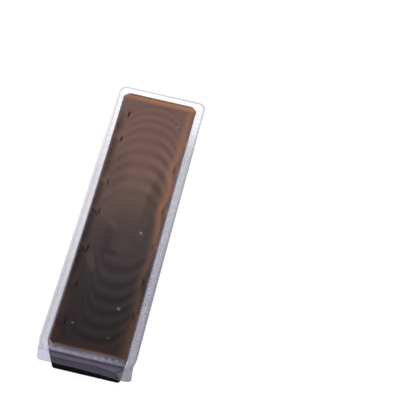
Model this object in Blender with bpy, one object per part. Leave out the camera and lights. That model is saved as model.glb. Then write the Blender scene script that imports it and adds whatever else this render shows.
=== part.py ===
"""A bar of yokan, the firm jelly of red beans and agar, in its clear tray under a sealed film.

The bar is cast in the tray, so it has the tray's taper. The film is welded to the tray's rim,
stands a little past it, and runs on at the near end as a pull tab that is folded down.

The bar lies along Y, with the pull tab at -Y. The origin is on the ground, under the middle.
Lengths below are in metres; MM is one millimetre.
"""
import math

import bmesh
import bpy

MM = 0.001

# Gap that stands for each face where two pieces touch
TOUCH_GAP = 0.3 * MM

# Bar: half sizes of its top, the height of its top, and the slope of its sides and ends
BAR_HALF_X = 24.0 * MM
BAR_HALF_Y = 100.0 * MM
BAR_TOP = 32.4 * MM
DRAFT = 0.105
BAR_CORNER_RADIUS = 1.8 * MM
BAR_FOOT_ROUND = 1.2 * MM
BAR_RIM_ROUND = 0.35 * MM

# Corners of the bar's top that the jelly did not fill, from the far right one round to the left
CORNER_GAPS = (3.0 * MM, 3.2 * MM, 3.8 * MM, 0.0)
CORNER_GAP_DEPTH = 3.0 * MM

# Pinch marks in the bar's top: small dents in a row beside each long edge, about a pitch apart.
# The right row is half a pitch out of step. Each mark strays from its even place, in pitches.
PINCH_LENGTH = 6.4 * MM
PINCH_WIDTH = 1.5 * MM
PINCH_DEPTH = 0.45 * MM
PINCH_SIDES = 12
PINCH_PITCH = 27.5 * MM
LEFT_PINCH_X = -17.4 * MM
LEFT_PINCH_STRAYS = (0.0, 0.22, -0.1, 0.06, 0.0, 0.0, 0.0)
RIGHT_PINCH_X = 20.8 * MM
RIGHT_PINCH_STRAYS = (0.0, 0.14, -0.08, -0.1, -0.08, 0.0)

# The long sides pull in a little between the ends, the left one more than the right one
BOW_LEFT = 0.6 * MM
BOW_RIGHT = 0.25 * MM
SIDE_STEPS = 10

# Tray: formed from one thin clear sheet, with a flat rim whose edge turns down
TRAY_WALL = 0.8 * MM
TRAY_CORNER_RADIUS = BAR_CORNER_RADIUS + TOUCH_GAP
MOUTH_ROUND = 0.5 * MM
RIM_HALF_X = 28.1 * MM
RIM_HALF_Y = 104.0 * MM
RIM_OFF_CENTRE = 0.5 * MM
RIM_RADIUS = 4.6 * MM
RIM_THICK = 0.8 * MM
RIM_EDGE_ROUND = 0.7 * MM
RIM_LIP_DROP = 1.8 * MM
RIM_FILLET = 0.8 * MM
TRAY_FOOT_ROUND = 1.0 * MM
CORNER_STEPS = 6

# Film: a thin sheet on the rim, with rounded far corners and the pull tab at the near end
FILM_THICK = 0.3 * MM
FILM_UNDER = BAR_TOP + TOUCH_GAP
FILM_HALF_X = 29.45 * MM
FILM_OFF_CENTRE = 0.25 * MM
FILM_FAR_Y = 105.2 * MM
FILM_RADIUS = 5.4 * MM
FILM_CORNER_ROWS = 6
FILM_COLUMNS = 22
FILM_ROWS = 14
FOLD_START_Y = -103.75 * MM
FOLD_RADIUS = 0.8 * MM
FOLD_ROWS = 4

# Pull tab: its half width and the length over which the film narrows to it, the height of its
# lower edge at the two ends, its corners, and its three flat fields with the creases between them
TAB_HALF_X = 28.5 * MM
TAB_NECK = 7.0 * MM
TAB_LOW_LEFT = 20.4 * MM
TAB_LOW_RIGHT = 17.3 * MM
TAB_SAG = 0.4 * MM
TAB_RADIUS = 2.6 * MM
TAB_ROWS = 8
TAB_CORNER_ROWS = 4
TAB_UPPER_SLOPE = 0.235
TAB_LOWER_SLOPE = 0.03
TAB_CREASE_OUT = 0.95 * MM
TAB_CREASE_BEND_X = 8.0 * MM
TAB_CREASE_BEND = 0.04
TAB_FORK = (18.6 * MM, 26.4 * MM)
TAB_FORK_OUT = 1.32 * MM
TAB_FORK_SLOPE_X = 0.167
TAB_FORK_SLOPE_Z = 0.053
TAB_LEAN_IN = 0.25


def clear_scene():
    """Removes whatever the opened file holds."""
    for thing in list(bpy.data.objects):
        bpy.data.objects.remove(thing, do_unlink=True)


def plain_material(name, colour, roughness, alpha=1.0):
    """One Principled material of a piece's colour, roughness and clearness."""
    material = bpy.data.materials.new(name)
    material.use_nodes = True
    shader = material.node_tree.nodes["Principled BSDF"]
    shader.inputs["Base Color"].default_value = (*colour, 1.0)
    shader.inputs["Roughness"].default_value = roughness
    shader.inputs["Metallic"].default_value = 0.0
    shader.inputs["Alpha"].default_value = alpha
    return material


def add_object(name, mesh_data, material):
    """Links a finished bmesh to the scene as a named, smooth-shaded object."""
    mesh = bpy.data.meshes.new(name)
    bmesh.ops.recalc_face_normals(mesh_data, faces=mesh_data.faces)
    mesh_data.to_mesh(mesh)
    mesh_data.free()
    mesh.materials.append(material)
    mesh.shade_smooth()
    mesh.set_sharp_from_angle(angle=math.radians(35))
    thing = bpy.data.objects.new(name, mesh)
    bpy.context.scene.collection.objects.link(thing)
    return thing


def bowed(x, y):
    """The x of a point once the long sides pull in between the ends."""
    left = (1 - x / BAR_HALF_X) / 2
    return x + (BOW_LEFT * left - BOW_RIGHT * (1 - left)) * (1 - (y / FILM_FAR_Y) ** 2)


def rounded_outline(half_x, half_y, radius, cuts=(0, 0, 0, 0), cut_share=0.0, off_centre=0.0):
    """Points of a rounded rectangle with bowed long sides, anticlockwise from the right side.

    Each corner can turn from its round form into a straight cut, by cut_share from 0 to 1.
    """
    points = []
    for corner in range(4):
        turn = corner * math.pi / 2
        sign_x = 1 if corner in (0, 3) else -1
        sign_y = 1 if corner in (0, 1) else -1
        cut = cuts[corner]
        straight = cut_share if cut else 0.0
        for step in range(CORNER_STEPS + 1):
            share = step / CORNER_STEPS
            angle = turn + share * math.pi / 2
            round_x = sign_x * (half_x - radius) + radius * math.cos(angle)
            round_y = sign_y * (half_y - radius) + radius * math.sin(angle)
            along = share if corner % 2 == 0 else 1 - share
            cut_x = sign_x * (half_x - cut * along)
            cut_y = sign_y * (half_y - cut * (1 - along))
            points.append((round_x + (cut_x - round_x) * straight,
                           round_y + (cut_y - round_y) * straight))
        if corner % 2 == 1:
            side_x, side_y = points[-1]
            for step in range(1, SIDE_STEPS):
                points.append((side_x, side_y * (1 - 2 * step / SIDE_STEPS)))
    return [(bowed(x, y) + off_centre, y) for x, y in points]


def loft(rings):
    """A closed body through rings of points at their heights, capped at its first and last ring."""
    body = bmesh.new()
    rows = []
    for outline, height in rings:
        rows.append([body.verts.new((x, y, height)) for x, y in outline])
    count = len(rows[0])
    for lower, upper in zip(rows, rows[1:]):
        for i in range(count):
            j = (i + 1) % count
            body.faces.new((lower[i], lower[j], upper[j], upper[i]))
    body.faces.new(reversed(rows[0]))
    body.faces.new(rows[-1])
    return body


def bar_half(height, outset=0.0):
    """Half sizes of the bar at a height; outset widens them evenly."""
    spread = outset - DRAFT * (BAR_TOP - height)
    return BAR_HALF_X + spread, BAR_HALF_Y + spread


def quarter_round(radius, steps):
    """Inset and rise of the points on a quarter round, from its flat end to its upright end."""
    for step in range(steps + 1):
        angle = step / steps * math.pi / 2
        yield radius * (1 - math.sin(angle)), radius * (1 - math.cos(angle))


def pinch_places():
    """Middles of the pinch marks in the bar's top, one row after the other."""
    for x, strays in ((LEFT_PINCH_X, LEFT_PINCH_STRAYS), (RIGHT_PINCH_X, RIGHT_PINCH_STRAYS)):
        middle = (len(strays) - 1) / 2
        for i, stray in enumerate(strays):
            yield x, (middle - i + stray) * PINCH_PITCH


def make_pinch_cutter():
    """Boat-shaped forms, side by side, that dent the bar's top."""
    cutter = bmesh.new()
    for x, y in pinch_places():
        made = bmesh.ops.create_uvsphere(cutter, u_segments=PINCH_SIDES, v_segments=PINCH_SIDES // 2,
                                         radius=1.0)
        bmesh.ops.scale(cutter, verts=made["verts"],
                        vec=(PINCH_WIDTH / 2, PINCH_LENGTH / 2, PINCH_DEPTH))
        bmesh.ops.translate(cutter, verts=made["verts"], vec=(x, y, BAR_TOP))
    thing = add_object("pinch_cutter", cutter, plain_material("cutter", (0.5, 0.5, 0.5), 0.5))
    thing.hide_render = True
    thing.display_type = "WIRE"
    return thing


def make_bar():
    """The bar: tapered sides, rounded foot, a fine rim, open corners at the top, and pinch marks."""
    foot = TRAY_WALL + TOUCH_GAP
    rings = []
    for inset, rise in quarter_round(BAR_FOOT_ROUND, 3):
        half_x, half_y = bar_half(foot + rise, -inset)
        rings.append((rounded_outline(half_x, half_y, BAR_CORNER_RADIUS), foot + rise))
    half_x, half_y = bar_half(BAR_TOP - CORNER_GAP_DEPTH)
    rings.append((rounded_outline(half_x, half_y, BAR_CORNER_RADIUS), BAR_TOP - CORNER_GAP_DEPTH))
    half_x, half_y = bar_half(BAR_TOP - BAR_RIM_ROUND)
    rings.append((rounded_outline(half_x, half_y, BAR_CORNER_RADIUS, CORNER_GAPS, 0.9),
                  BAR_TOP - BAR_RIM_ROUND))
    half_x, half_y = bar_half(BAR_TOP, -BAR_RIM_ROUND)
    rings.append((rounded_outline(half_x, half_y, BAR_CORNER_RADIUS, CORNER_GAPS, 1.0), BAR_TOP))
    bar = add_object("yokan", loft(rings), plain_material("bean_jelly", (0.075, 0.042, 0.032), 0.22))
    dents = bar.modifiers.new("pinch_marks", "BOOLEAN")
    dents.operation = "DIFFERENCE"
    dents.object = make_pinch_cutter()
    return bar


def tray_rings():
    """The tray's skin, from the cavity's floor over the rim and down to the underside."""
    rings = []

    def add(half_x, half_y, radius, height, off_centre=0.0):
        rings.append((rounded_outline(half_x, half_y, radius, off_centre=off_centre), height))

    def add_rim(inset, height):
        add(RIM_HALF_X - inset, RIM_HALF_Y - inset, RIM_RADIUS - inset, height, RIM_OFF_CENTRE)

    # Cavity, with the bar's own rounding at the floor
    for inset, rise in quarter_round(BAR_FOOT_ROUND, 3):
        half_x, half_y = bar_half(TRAY_WALL + rise, TOUCH_GAP - inset)
        add(half_x, half_y, TRAY_CORNER_RADIUS, TRAY_WALL + rise)
    half_x, half_y = bar_half(BAR_TOP - MOUTH_ROUND, TOUCH_GAP)
    add(half_x, half_y, TRAY_CORNER_RADIUS, BAR_TOP - MOUTH_ROUND)
    add(half_x + MOUTH_ROUND, half_y + MOUTH_ROUND, TRAY_CORNER_RADIUS + MOUTH_ROUND, BAR_TOP)

    # Rim: flat on top, rounded over its edge, with a lip that turns down
    for fall, inset in reversed(list(quarter_round(RIM_EDGE_ROUND, 3))):
        add_rim(inset, BAR_TOP - fall)
    add_rim(0.0, BAR_TOP - RIM_LIP_DROP)
    add_rim(RIM_THICK, BAR_TOP - RIM_LIP_DROP)
    rim_under = BAR_TOP - RIM_THICK
    add_rim(RIM_THICK, rim_under)

    # Outside of the walls, a wall's thickness from the cavity
    outset = TOUCH_GAP + TRAY_WALL
    outer_radius = TRAY_CORNER_RADIUS + TRAY_WALL
    half_x, half_y = bar_half(rim_under, outset + RIM_FILLET)
    add(half_x, half_y, outer_radius + RIM_FILLET, rim_under)
    half_x, half_y = bar_half(rim_under - RIM_FILLET, outset)
    add(half_x, half_y, outer_radius, rim_under - RIM_FILLET)
    for inset, rise in reversed(list(quarter_round(TRAY_FOOT_ROUND, 3))):
        half_x, half_y = bar_half(rise, outset - inset)
        add(half_x, half_y, outer_radius - inset, rise)
    return rings


def make_tray():
    """The clear tray that the bar was cast in."""
    return add_object("tray", loft(tray_rings()),
                      plain_material("tray_plastic", (0.82, 0.82, 0.88), 0.15, 0.35))


def corner_narrowing(distance, radius):
    """How much a sheet with round corners is narrower on each side, near its end."""
    if distance >= radius:
        return 0.0
    return radius - math.sqrt(radius * radius - (radius - distance) ** 2)


def round_rows(radius, rows):
    """Distances from a round-cornered end at which the sheet gets a row of points."""
    return [radius * (1 - math.cos(i / rows * math.pi / 2)) for i in range(rows + 1)]


def flat_half(y):
    """Half width of the flat film at a place: round far corners, and a neck before the pull tab."""
    half = FILM_HALF_X - corner_narrowing(FILM_FAR_Y - y, FILM_RADIUS)
    share = min(1.0, max(0.0, 1 - (y - FOLD_START_Y) / TAB_NECK))
    return half - (FILM_HALF_X - TAB_HALF_X) * share * share * (3 - 2 * share)


def tab_outward(x, z, top):
    """How far the pull tab stands out at a place: three flat fields that meet in creases."""
    upper = TAB_UPPER_SLOPE * (top - z)
    bend = TAB_CREASE_BEND * max(0.0, x - TAB_CREASE_BEND_X)
    crease_z = top - TAB_CREASE_OUT / TAB_UPPER_SLOPE
    lower = TAB_CREASE_OUT + bend - TAB_LOWER_SLOPE * (crease_z - z)
    fork_x, fork_z = TAB_FORK
    side = TAB_FORK_OUT - TAB_FORK_SLOPE_X * (x - fork_x) - TAB_FORK_SLOPE_Z * (z - fork_z)
    return max(min(upper, lower, side), -TAB_LEAN_IN * (top - z))


def tab_low(x):
    """Height of the pull tab's lower edge, which sags a little and is lower on the right."""
    across = x / TAB_HALF_X
    middle = (TAB_LOW_LEFT + TAB_LOW_RIGHT) / 2
    return middle + (TAB_LOW_RIGHT - TAB_LOW_LEFT) / 2 * across - TAB_SAG * (1 - across * across)


def film_rows():
    """Rows of points of the film's middle surface, from its far end to the pull tab's lower edge."""
    middle = FILM_UNDER + FILM_THICK / 2
    shares = [2 * i / FILM_COLUMNS - 1 for i in range(FILM_COLUMNS + 1)]
    rows = []

    # Flat sheet over the tray
    places = [FILM_FAR_Y - distance for distance in round_rows(FILM_RADIUS, FILM_CORNER_ROWS)]
    start_y = places[-1]
    places += [start_y + (FOLD_START_Y - start_y) * i / FILM_ROWS for i in range(1, FILM_ROWS)]
    places += [FOLD_START_Y + TAB_NECK * share for share in (0.6, 0.3)]
    for y in places:
        half = flat_half(y)
        rows.append([(bowed(share * half, y), y, middle) for share in shares])

    # Fold over the rim's edge
    for i in range(FOLD_ROWS + 1):
        angle = i / FOLD_ROWS * math.pi / 2
        y = FOLD_START_Y - FOLD_RADIUS * math.sin(angle)
        z = middle - FOLD_RADIUS * (1 - math.cos(angle))
        rows.append([(share * TAB_HALF_X, y, z) for share in shares])

    # Pull tab, down to its round-cornered lower edge
    top = middle - FOLD_RADIUS
    drop = top - tab_low(0.0)
    levels = [drop - (drop - TAB_RADIUS) * i / TAB_ROWS for i in range(1, TAB_ROWS)]
    for distance in levels + list(reversed(round_rows(TAB_RADIUS, TAB_CORNER_ROWS))):
        half = TAB_HALF_X - corner_narrowing(distance, TAB_RADIUS)
        row = []
        for share in shares:
            x = share * half
            z = top - (top - tab_low(x)) * (1 - distance / drop)
            row.append((x, FOLD_START_Y - FOLD_RADIUS - tab_outward(x, z, top), z))
        rows.append(row)
    return [[(x + FILM_OFF_CENTRE, y, z) for x, y, z in row] for row in rows]


def make_film():
    """The lid film and its pull tab, one thin sheet."""
    sheet = bmesh.new()
    rows = [[sheet.verts.new(point) for point in row] for row in film_rows()]
    for row, following in zip(rows, rows[1:]):
        for i in range(FILM_COLUMNS):
            sheet.faces.new((row[i], following[i], following[i + 1], row[i + 1]))
    film = add_object("lid_film", sheet, plain_material("clear_film", (0.85, 0.85, 0.90), 0.12, 0.25))
    thickness = film.modifiers.new("thickness", "SOLIDIFY")
    thickness.thickness = FILM_THICK
    thickness.offset = 0.0
    thickness.use_even_offset = True
    return film


clear_scene()
make_bar()
make_tray()
make_film()
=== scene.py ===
# %% [markdown]
# # A bar of yokan in its clear tray
# Yokan is a firm sweet jelly of red beans and agar. This one was cast in a clear tray and sealed under
# a film, which runs on at one end as a pull tab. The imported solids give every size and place. This
# lesson dresses them: three pieces with finer surfaces stand for the three solids, and two small
# Geometry Nodes trees add what the sealing left behind.

# %% Load the frame of solids
import math

import bpy
import numpy as np
from mathutils import Matrix, Vector


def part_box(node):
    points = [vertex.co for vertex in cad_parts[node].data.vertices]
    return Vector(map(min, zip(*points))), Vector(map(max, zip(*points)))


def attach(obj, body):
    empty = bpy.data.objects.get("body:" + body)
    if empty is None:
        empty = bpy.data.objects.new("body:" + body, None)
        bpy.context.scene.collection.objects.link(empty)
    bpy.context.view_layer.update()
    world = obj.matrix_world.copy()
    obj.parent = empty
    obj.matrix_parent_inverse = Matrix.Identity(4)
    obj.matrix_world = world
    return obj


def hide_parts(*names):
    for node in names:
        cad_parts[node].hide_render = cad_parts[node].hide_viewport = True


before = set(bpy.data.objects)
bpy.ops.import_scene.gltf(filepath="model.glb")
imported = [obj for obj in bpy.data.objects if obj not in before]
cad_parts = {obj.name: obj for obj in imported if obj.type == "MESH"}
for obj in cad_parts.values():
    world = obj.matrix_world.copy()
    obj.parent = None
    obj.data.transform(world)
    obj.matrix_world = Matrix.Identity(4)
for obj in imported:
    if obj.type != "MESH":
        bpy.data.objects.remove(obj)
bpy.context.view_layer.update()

MM = 0.001
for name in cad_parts:
    low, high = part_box(name)
    print(name, "from", [round(v / MM, 2) for v in low], "to", [round(v / MM, 2) for v in high], "mm")

# %% [markdown]
# ## The camera
# A camera that looks at a long straight object can be worked out from its edges: their directions give
# the turn, the tilt and the roll, and how much they close up gives the distance. A long lens far away
# keeps the tray's sides nearly parallel, as in a catalogue picture. The look-at point isn't on the tray,
# because the tray stands to the left of the picture's middle.

# %% Camera from its turn, tilt, roll and distance
CAMERA_TURN, CAMERA_TILT, CAMERA_ROLL = -85.96, 52.755, 9.708
CAMERA_DISTANCE = 1108.65 * MM
LOOK_AT = Vector((39.62 * MM, 52.01 * MM, 0.0))
LENS = 153.0


def direction(turn, tilt):
    """The unit vector at a compass turn and a height angle, in degrees."""
    turn, tilt = math.radians(turn), math.radians(tilt)
    return Vector((math.cos(tilt) * math.cos(turn), math.cos(tilt) * math.sin(turn), math.sin(tilt)))


def into_scene(name, data):
    """A new object round this data, linked into the scene."""
    thing = bpy.data.objects.new(name, data)
    bpy.context.scene.collection.objects.link(thing)
    return thing


def place_camera():
    """Stands the camera on its line of sight and rolls it about that line."""
    back, level = direction(CAMERA_TURN, CAMERA_TILT), direction(CAMERA_TURN + 90, 0.0)
    upright = back.cross(level)
    roll = math.radians(CAMERA_ROLL)
    right = level * math.cos(roll) + upright * math.sin(roll)
    up = upright * math.cos(roll) - level * math.sin(roll)
    camera = into_scene("camera", bpy.data.cameras.new("camera"))
    camera.data.lens = LENS
    camera.matrix_world = (Matrix.Translation(LOOK_AT + back * CAMERA_DISTANCE)
                           @ Matrix((right, up, back)).transposed().to_4x4())
    bpy.context.scene.camera = camera
    return camera


print("camera at", [round(v, 3) for v in place_camera().matrix_world.translation])

# %% [markdown]
# ## Floor and light
# Clear plastic shows mostly what lies behind it and what it mirrors, so the room matters as much as the
# material. Catalogue pictures are often taken on a light table, a white sheet lit from below, which
# keeps the shadows pale: here the floor gives most of its white as emission. An even sky lights the
# rest. A large lamp stands on the left, where the film doesn't mirror it, and a weak one fills.

# %% Pale floor, even sky and two large soft lamps
FLOOR_HALF = 4.0
FLOOR_TONE = (0.25, 0.25, 0.25, 1.0)
FLOOR_GLOW = 0.86
SKY_STRENGTH = 1.0


def pale_floor():
    """One flat square under the tray."""
    mesh = bpy.data.meshes.new("floor")
    corners = [(-FLOOR_HALF, -FLOOR_HALF, 0.0), (FLOOR_HALF, -FLOOR_HALF, 0.0),
               (FLOOR_HALF, FLOOR_HALF, 0.0), (-FLOOR_HALF, FLOOR_HALF, 0.0)]
    mesh.from_pydata(corners, [], [(0, 1, 2, 3)])
    material = bpy.data.materials.new("floor_paper")
    material.use_nodes = True
    shader = material.node_tree.nodes["Principled BSDF"]
    shader.inputs["Base Color"].default_value = FLOOR_TONE
    shader.inputs["Roughness"].default_value = 0.9
    shader.inputs["Specular IOR Level"].default_value = 0.0
    shader.inputs["Emission Color"].default_value = (1.0, 1.0, 1.0, 1.0)
    shader.inputs["Emission Strength"].default_value = FLOOR_GLOW
    mesh.materials.append(material)
    into_scene("floor", mesh)


def soft_lamp(name, turn, tilt, distance, size, power):
    """A square area lamp that looks at the tray from a compass turn and a height angle, in degrees."""
    away = direction(turn, tilt)
    lamp = into_scene(name, bpy.data.lights.new(name, "AREA"))
    lamp.data.size = size
    lamp.data.energy = power
    lamp.location = away * distance
    lamp.rotation_euler = away.to_track_quat("Z", "Y").to_euler()
    lamp.visible_camera = False


world = bpy.data.worlds.new("sky")
bpy.context.scene.world = world
world.use_nodes = True
world.node_tree.nodes["Background"].inputs["Color"].default_value = (0.98, 0.98, 1.0, 1.0)
world.node_tree.nodes["Background"].inputs["Strength"].default_value = SKY_STRENGTH
bpy.context.scene.view_settings.view_transform = "Standard"
pale_floor()
soft_lamp("key_lamp", turn=158.0, tilt=48.0, distance=1.3, size=0.8, power=7.0)
soft_lamp("fill_lamp", turn=-40.0, tilt=62.0, distance=1.6, size=1.1, power=2.0)
print("floor", FLOOR_HALF * 2, "m wide, sky strength", SKY_STRENGTH)

# %% [markdown]
# ## Sums on shader sockets
# A procedural finish is mostly arithmetic on the place of a point. Blender does it with Math nodes, which
# are slow to wire by hand. One small class wraps a node's output, so that a sum written in Python lays
# the nodes itself. Any other node comes from the method `make`.


# %% A socket that Python can do sums with
class Field:
    """One output of a shader node. Python's operators on it add the Math nodes for the sum."""

    def __init__(self, tree, output=None):
        self.tree = tree
        self.output = output

    def make(self, kind, settings=None, values=None, output=0):
        """Any node, from its type, its settings, and the values or links of its sockets."""
        node = self.tree.nodes.new(kind)
        for name, setting in (settings or {}).items():
            if name == "stops":
                for number, (place, colour) in enumerate(setting):
                    stops = node.color_ramp.elements
                    stop = stops[number] if number < 2 else stops.new(place)
                    stop.position = place
                    stop.color = (*colour, 1.0)
            else:
                setattr(node, name, setting)
        for name, value in (values or {}).items():
            if isinstance(value, Field):
                self.tree.links.new(value.output, node.inputs[name])
            else:
                node.inputs[name].default_value = value
        return Field(self.tree, node.outputs[output])

    def sum_of(self, operation, *values):
        """A Math node on these values."""
        return self.make("ShaderNodeMath", {"operation": operation}, dict(enumerate(values)))

    def __add__(self, other):
        return self.sum_of("ADD", self, other)

    def __radd__(self, other):
        return self.sum_of("ADD", other, self)

    def __sub__(self, other):
        return self.sum_of("SUBTRACT", self, other)

    def __rsub__(self, other):
        return self.sum_of("SUBTRACT", other, self)

    def __mul__(self, other):
        return self.sum_of("MULTIPLY", self, other)

    def __rmul__(self, other):
        return self.sum_of("MULTIPLY", other, self)

    def __truediv__(self, other):
        return self.sum_of("DIVIDE", self, other)

    def __rtruediv__(self, other):
        return self.sum_of("DIVIDE", other, self)

    def __pow__(self, other):
        return self.sum_of("POWER", self, other)

    def __abs__(self):
        return self.sum_of("ABSOLUTE", self)

    def between(self, start, end):
        """A soft step from 0 at start to 1 at end, which may be the lower of the two."""
        return self.make("ShaderNodeMapRange", {"interpolation_type": "SMOOTHSTEP"},
                         {"Value": self, "From Min": start, "From Max": end})

    def mixed(self, first, second):
        """A colour from first to second, by this field from 0 to 1."""
        return self.make("ShaderNodeMix", {"data_type": "RGBA"}, {0: self, 6: first, 7: second}, output=2)


def new_finish(name):
    """A material with a Principled shader, its field maker and the object's own place in mm."""
    material = bpy.data.materials.new(name)
    material.use_nodes = True
    maker = Field(material.node_tree)
    place = maker.make("ShaderNodeTexCoord", output="Object")
    in_mm = maker.make("ShaderNodeVectorMath", {"operation": "SCALE"}, {0: place, "Scale": 1 / MM})
    return material, maker, in_mm


def axis(maker, place, name):
    """The X, Y or Z of a place, as a field."""
    return maker.make("ShaderNodeSeparateXYZ", values={0: place}, output=name)


def noise(maker, place, scale, detail=2.0):
    """Soft noise from 0 to 1 over a place in mm, finer with more scale."""
    return maker.make("ShaderNodeTexNoise", values={"Vector": place, "Scale": scale, "Detail": detail})


def carried(maker, name):
    """The number that the mesh carries at its points under this name, as a field."""
    return maker.make("ShaderNodeAttribute", {"attribute_name": name}, output="Fac")


def finish_with(material, links=None, **values):
    """Sets the Principled shader's sockets: links for what varies, values for what doesn't."""
    shader = material.node_tree.nodes["Principled BSDF"]
    for name, field in (links or {}).items():
        material.node_tree.links.new(field.output, shader.inputs[name])
    for name, value in values.items():
        shader.inputs[name.replace("_", " ")].default_value = value
    print(material.name, "has", len(material.node_tree.nodes), "nodes")


print("field maker ready")

# %% [markdown]
# ## The jelly's finish
# The top's soft brown is painted light: it stands in for light that has come through the jelly, and it
# fades to close to black at the near end. The orange glow of the thin edges is painted light as well,
# for the light they let through. As the hot jelly ran out from the middle to both ends it left ripples:
# each is the same bow shape, moved along. The gaps between them shrink towards the ends. They are only
# in the colour, where lighter ridges and darker troughs are painted light and shade. A texture wouldn't
# know the rule, so the ripples come from sums on the place. Marks that follow the edges come with the
# mesh instead, as attributes that the mesh code works out.

# %% Ripples and tones of the jelly, with painted light and shade
RIPPLE_AXIS_X = 1.0
RIPPLE_DEPTH = 8.8
RIPPLE_REACH_X = 16.0
RIPPLE_CURVE = 2.6
RIPPLE_WANDER = 1.2
FAR_RIPPLE_END = 125.0
FAR_RIPPLE_RATE = 4.96
FAR_RIPPLE_SHIFT = 0.17
NEAR_RIPPLE_END = 86.0
NEAR_RIPPLE_GAP = 9.5
NEAR_RIPPLE_CLOSING = 0.0039
SWEEP_X, SWEEP_SOFTNESS, SWEEP_SLOPE = -6.2, 3.0, 1.1

# Where the ripples fade in and out: the far ones, the near ones, and both beside the middle
FAR_FADE_IN, FAR_FADE_OUT = (6.0, 24.0), (100.0, 92.0)
NEAR_FADE_IN, NEAR_START, NEAR_FADE_OUT = (-20.0, -36.0), (-12.0, -34.0), (-97.0, -91.0)
SIDE_FADE = (22.0, 15.0)

# Tones of the top along the bar, from the near end to the far end, and of what changes them. Along
# the bar the brown is painted light, for light that comes through the jelly.
BAR_LENGTH = 200.0
TONES_AND_PAINTED_LIGHT_ALONG = ((0.0, (0.0200, 0.0155, 0.0155)), (0.2, (0.0255, 0.0220, 0.0230)),
               (0.37, (0.042, 0.034, 0.035)), (0.5, (0.065, 0.047, 0.046)),
               (0.66, (0.121, 0.074, 0.063)), (1.0, (0.124, 0.075, 0.066)))
# Painted glow: the orange of thin edges stands in for light that comes through them
PAINTED_GLOW_TONE = (0.31, 0.145, 0.082, 1.0)
# The ripples are only in the colour: lighter ridges and darker troughs are their painted light and shade
FAR_TROUGH_PAINTED_SHADE, FAR_RIDGE_PAINTED_LIGHT = (0.85, 0.80, 0.87, 1.0), (1.20, 1.23, 1.14, 1.0)
NEAR_TROUGH_PAINTED_SHADE, NEAR_RIDGE_PAINTED_LIGHT = (0.83, 0.83, 0.86, 1.0), (1.18, 1.16, 1.13, 1.0)
# Painted shade: one dark tone for the dents, the scallops and the line along the far edge
PAINTED_SHADE_TONE = (0.0170, 0.0070, 0.0075, 1.0)
DARK_PATCH_TONE, LIGHT_PATCH_TONE = (0.017, 0.014, 0.015, 1.0), (0.10, 0.066, 0.058, 1.0)
SIDE_TONE, SIDE_LIGHT_TONE = (0.0042, 0.0026, 0.0030, 1.0), (0.0085, 0.0046, 0.0045, 1.0)
TOP_TO_SIDE = (32.3, 31.0)
PALE_TONE = (0.36, 0.31, 0.33, 1.0)

# Patches where the two flows met: middle, half sizes, turn and strength
DEEP_RIPPLES = ((12.0, 42.0), (9.0, 34.0), 0.0)
DARK_PATCHES = (((-8.0, -17.0), (5.0, 14.0), 8.0, 0.24), ((12.5, 22.0), (5.0, 26.0), -4.0, 0.30),
                ((-4.0, -27.0), (7.0, 3.5), -14.0, 0.40), ((-17.0, -42.0), (2.4, 15.0), 14.0, 0.20),
                ((15.5, 2.0), (3.0, 22.0), -3.0, 0.22), ((-14.0, 35.0), (9.0, 20.0), 0.0, 0.22))
LIGHT_PATCHES = (((-13.0, 3.0), (7.0, 8.0), -30.0, 0.42), ((-8.0, -5.0), (6.0, 3.0), -38.0, 0.3),
                 ((-13.5, -36.0), (3.2, 10.0), 20.0, 0.25), ((3.0, -21.0), (8.0, 7.0), 0.0, 0.16))


def soft_patch(maker, place, middle, half_sizes, turn):
    """A soft-edged oval of 1 on the top, at a middle and with half sizes in mm, turned in degrees."""
    x, y = axis(maker, place, "X") - middle[0], axis(maker, place, "Y") - middle[1]
    cosine, sine = math.cos(math.radians(turn)), math.sin(math.radians(turn))
    across = (x * cosine + y * sine) / half_sizes[0]
    along = (y * cosine - x * sine) / half_sizes[1]
    return (across * across + along * along).between(1.0, 0.0)


def ripple_fields(maker, place):
    """For the far and the near ripples, -1 in a trough and 1 on a ridge; both fade in the middle."""
    x, y = axis(maker, place, "X"), axis(maker, place, "Y")
    y = y + (noise(maker, place, 0.05, 1.0) - 0.5) * RIPPLE_WANDER
    bow = (abs(x - RIPPLE_AXIS_X) / RIPPLE_REACH_X) ** RIPPLE_CURVE * RIPPLE_DEPTH
    far = y + bow
    past = SWEEP_X - x
    sweep = past + (past * past + SWEEP_SOFTNESS ** 2) ** 0.5
    sweep = sweep * SWEEP_SLOPE * y.between(-90.0, -62.0)
    near = y - bow - sweep
    far_count = maker.sum_of("LOGARITHM", (FAR_RIPPLE_END + far) / (FAR_RIPPLE_END - far), math.e)
    far_count = far_count * FAR_RIPPLE_RATE - FAR_RIPPLE_SHIFT
    steps = (near + NEAR_RIPPLE_END) / NEAR_RIPPLE_GAP
    near_count = steps - steps * steps * steps * NEAR_RIPPLE_CLOSING
    far_wave = maker.sum_of("COSINE", far_count * math.tau)
    far_wave = far_wave * far.between(*FAR_FADE_IN) * far.between(*FAR_FADE_OUT)
    far_wave = far_wave * (soft_patch(maker, place, *DEEP_RIPPLES) * 0.6 + 0.45)
    near_wave = maker.sum_of("COSINE", near_count * math.tau) * near.between(*NEAR_FADE_IN)
    near_wave = near_wave * y.between(*NEAR_START) * y.between(*NEAR_FADE_OUT)
    # On the left the near ripples are weak, but for the last ones before the end
    swept = x.between(-15.0, -2.0) * 0.9 + 0.1
    near_wave = near_wave * maker.sum_of("MAXIMUM", swept, y.between(-70.0, -92.0) * 0.8)
    inside = abs(x - RIPPLE_AXIS_X).between(*SIDE_FADE)
    return far_wave * inside, near_wave * inside


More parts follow.
